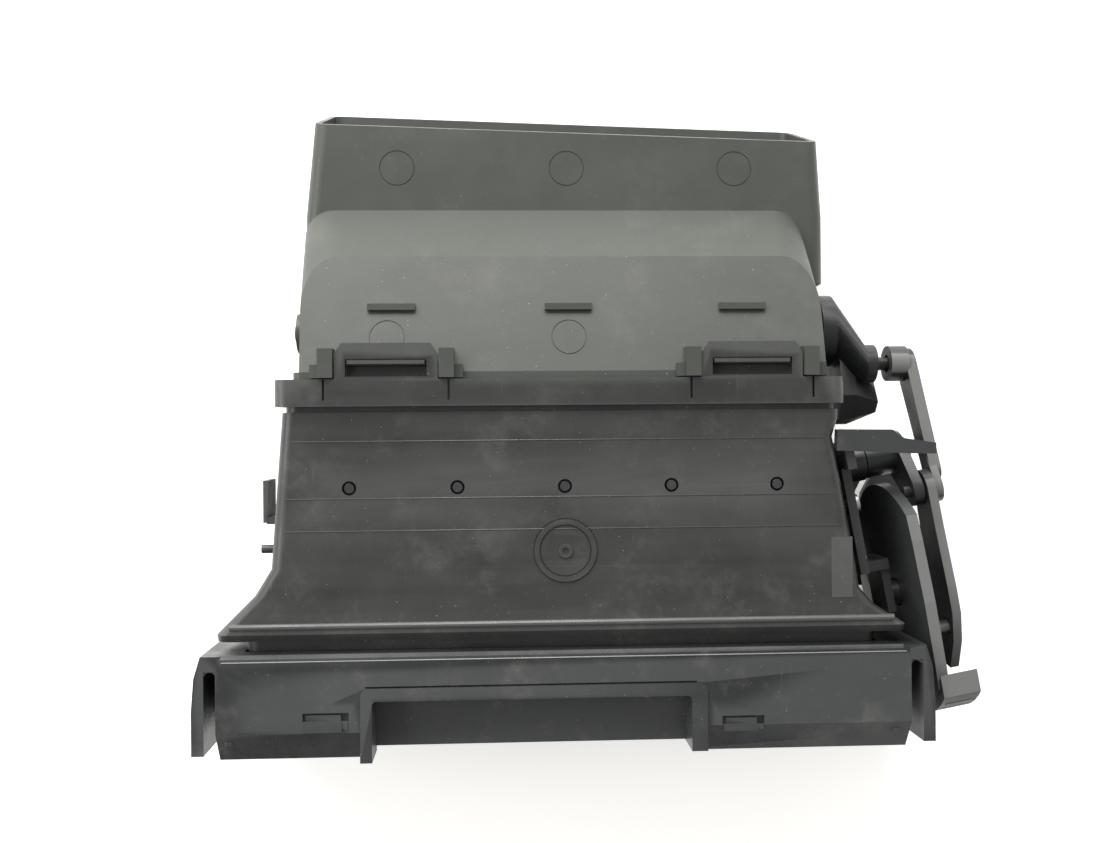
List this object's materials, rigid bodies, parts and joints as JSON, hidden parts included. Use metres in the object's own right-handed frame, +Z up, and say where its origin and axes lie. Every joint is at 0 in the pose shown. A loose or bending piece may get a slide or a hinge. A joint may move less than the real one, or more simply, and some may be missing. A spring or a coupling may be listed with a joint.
{
  "type": "dashboard air vent",
  "caption": "Rectangular dashboard air vent with two banks of tilting vanes, a sliding knob, a thumbwheel shut-off linkage and a push-fit rear duct adapter.",
  "frame": {"origin": "underside of the front frame, on the symmetry plane of the vane banks, level with the pivots' side plane (y 0 lies 14.8 mm behind the frame's front edge)", "axes": "+X towards the side with the thumbwheel linkage, -Y out of the outlet, +Y towards the duct mouth, +Z up"},
  "size_m": [0.2233, 0.1946, 0.0652],
  "materials": {
    "housing_plastic": "moulded, semi-matte",
    "adapter_plastic": "moulded, matte grey-green",
    "frame_plastic": "moulded, semi-matte",
    "vane_plastic": "moulded, matte",
    "link_plastic": "moulded, satin",
    "seal_foam": "closed-cell foam strip",
    "grip_rubber": "soft grip",
    "screw_steel": "plated steel"
  },
  "bodies": {
    "register": {"housing_upper": "housing_plastic", "housing_lower": "housing_plastic", "duct_adapter": "adapter_plastic", "front_frame": "frame_plastic", "vane_bearing_left": "frame_plastic", "vane_bearing_right": "frame_plastic", "side_carrier": "link_plastic", "carrier_screw_1": "screw_steel", "carrier_screw_2": "screw_steel", "carrier_screw_3": "screw_steel", "wheel_retaining_clip": "link_plastic", "rocker_retaining_clip": "link_plastic"},
    "vertical_vane_1": {"vertical_vane_1": "vane_plastic"},
    "vertical_vane_2": {"vertical_vane_2": "vane_plastic"},
    "vertical_vane_3": {"vertical_vane_3": "vane_plastic"},
    "vertical_vane_4": {"vertical_vane_4": "vane_plastic"},
    "vertical_vane_5": {"vertical_vane_5": "vane_plastic"},
    "vane_tie_bar": {"vane_tie_bar": "vane_plastic"},
    "horizontal_vane_1": {"horizontal_vane_1": "vane_plastic"},
    "horizontal_vane_2": {"horizontal_vane_2": "vane_plastic"},
    "horizontal_vane_3": {"horizontal_vane_3": "vane_plastic"},
    "horizontal_vane_4": {"horizontal_vane_4": "vane_plastic"},
    "horizontal_vane_5": {"horizontal_vane_5": "vane_plastic"},
    "vane_side_link": {"vane_side_link": "vane_plastic"},
    "slider_knob": {"slider_knob": "vane_plastic", "knob_grip_pad": "grip_rubber"},
    "damper": {"damper_flap": "vane_plastic", "damper_seal_front": "seal_foam", "damper_seal_rear": "seal_foam", "damper_axle": "link_plastic", "damper_crank": "link_plastic", "crank_screw": "screw_steel"},
    "thumbwheel": {"thumbwheel": "link_plastic"},
    "rocker": {"rocker": "link_plastic"},
    "lower_link": {"lower_link": "link_plastic"},
    "upper_link": {"upper_link": "link_plastic"}
  },
  "joints": [
    {"name": "vertical_vane_3_turn", "type": "hinge", "parent": "register", "child": "vertical_vane_3", "pos_m": [0, 0.0607, 0.032], "axis": [0, 0, 1], "range_deg": [-35, 35]},
    {"name": "vertical_vane_1_turn", "type": "hinge", "parent": "register", "child": "vertical_vane_1", "pos_m": [-0.06, 0.0607, 0.032], "axis": [0, 0, 1], "range_deg": [-35, 35]},
    {"name": "vertical_vane_2_turn", "type": "hinge", "parent": "register", "child": "vertical_vane_2", "pos_m": [-0.03, 0.0607, 0.032], "axis": [0, 0, 1], "range_deg": [-35, 35]},
    {"name": "vertical_vane_4_turn", "type": "hinge", "parent": "register", "child": "vertical_vane_4", "pos_m": [0.03, 0.0607, 0.032], "axis": [0, 0, 1], "range_deg": [-35, 35]},
    {"name": "vertical_vane_5_turn", "type": "hinge", "parent": "register", "child": "vertical_vane_5", "pos_m": [0.06, 0.0607, 0.032], "axis": [0, 0, 1], "range_deg": [-35, 35]},
    {"name": "tie_bar_turn", "type": "hinge", "parent": "vertical_vane_3", "child": "vane_tie_bar", "pos_m": [0, 0.0717, 0.0084], "axis": [0, 0, 1], "range_deg": [-35, 35]},
    {"name": "horizontal_vane_3_tilt", "type": "hinge", "parent": "register", "child": "horizontal_vane_3", "pos_m": [0, 0.002, 0.0285], "axis": [1, 0, 0], "range_deg": [-20, 20]},
    {"name": "horizontal_vane_1_tilt", "type": "hinge", "parent": "register", "child": "horizontal_vane_1", "pos_m": [0, 0.002, 0.0105], "axis": [1, 0, 0], "range_deg": [-20, 20]},
    {"name": "horizontal_vane_2_tilt", "type": "hinge", "parent": "register", "child": "horizontal_vane_2", "pos_m": [0, 0.002, 0.0195], "axis": [1, 0, 0], "range_deg": [-20, 20]},
    {"name": "horizontal_vane_4_tilt", "type": "hinge", "parent": "register", "child": "horizontal_vane_4", "pos_m": [0, 0.002, 0.0375], "axis": [1, 0, 0], "range_deg": [-20, 20]},
    {"name": "horizontal_vane_5_tilt", "type": "hinge", "parent": "register", "child": "horizontal_vane_5", "pos_m": [0, 0.002, 0.0465], "axis": [1, 0, 0], "range_deg": [-20, 20]},
    {"name": "side_link_turn", "type": "hinge", "parent": "horizontal_vane_3", "child": "vane_side_link", "pos_m": [0.0863, 0.007, 0.0285], "axis": [1, 0, 0], "range_deg": [-20, 20]},
    {"name": "knob_slide", "type": "slide", "parent": "horizontal_vane_3", "child": "slider_knob", "axis": [1, 0, 0], "range_m": [-0.0081, 0.0081]},
    {"name": "wheel_turn", "type": "hinge", "parent": "register", "child": "thumbwheel", "pos_m": [0.1024, 0.026, 0.038], "axis": [-0.9836, -0.1805, 0], "range_deg": [0, 80]},
    {"name": "rocker_turn", "type": "hinge", "parent": "register", "child": "rocker", "pos_m": [0.09494, 0.06667, 0.038], "axis": [-0.9836, -0.1805, 0], "range_deg": [0, 80]},
    {"name": "damper_turn", "type": "hinge", "parent": "register", "child": "damper", "pos_m": [0, 0.106, 0.031], "axis": [-1, 0, 0], "range_deg": [0, 80]},
    {"name": "lower_link_turn", "type": "hinge", "parent": "thumbwheel", "child": "lower_link", "pos_m": [0.11513, 0.01755, 0.04861], "axis": [-0.9836, -0.1805, 0], "range_deg": [-80, 0]},
    {"name": "upper_link_turn", "type": "hinge", "parent": "rocker", "child": "upper_link", "pos_m": [0.11023, 0.05869, 0.04861], "axis": [-0.9836, -0.1805, 0], "range_deg": [-80, 0]}
  ],
  "couplings": [
    {"joint": "vertical_vane_3_turn", "follows": "knob_slide", "rad_per_m": 74.6},
    {"joint": "vertical_vane_1_turn", "follows": "knob_slide", "rad_per_m": 74.6},
    {"joint": "vertical_vane_2_turn", "follows": "knob_slide", "rad_per_m": 74.6},
    {"joint": "vertical_vane_4_turn", "follows": "knob_slide", "rad_per_m": 74.6},
    {"joint": "vertical_vane_5_turn", "follows": "knob_slide", "rad_per_m": 74.6},
    {"joint": "tie_bar_turn", "follows": "knob_slide", "rad_per_m": -74.6},
    {"joint": "horizontal_vane_1_tilt", "follows": "horizontal_vane_3_tilt", "ratio": 1},
    {"joint": "horizontal_vane_2_tilt", "follows": "horizontal_vane_3_tilt", "ratio": 1},
    {"joint": "horizontal_vane_4_tilt", "follows": "horizontal_vane_3_tilt", "ratio": 1},
    {"joint": "horizontal_vane_5_tilt", "follows": "horizontal_vane_3_tilt", "ratio": 1},
    {"joint": "side_link_turn", "follows": "horizontal_vane_3_tilt", "ratio": -1},
    {"joint": "rocker_turn", "follows": "wheel_turn", "ratio": 1},
    {"joint": "damper_turn", "follows": "wheel_turn", "ratio": 1},
    {"joint": "lower_link_turn", "follows": "wheel_turn", "ratio": -1},
    {"joint": "upper_link_turn", "follows": "wheel_turn", "ratio": -1}
  ]
}
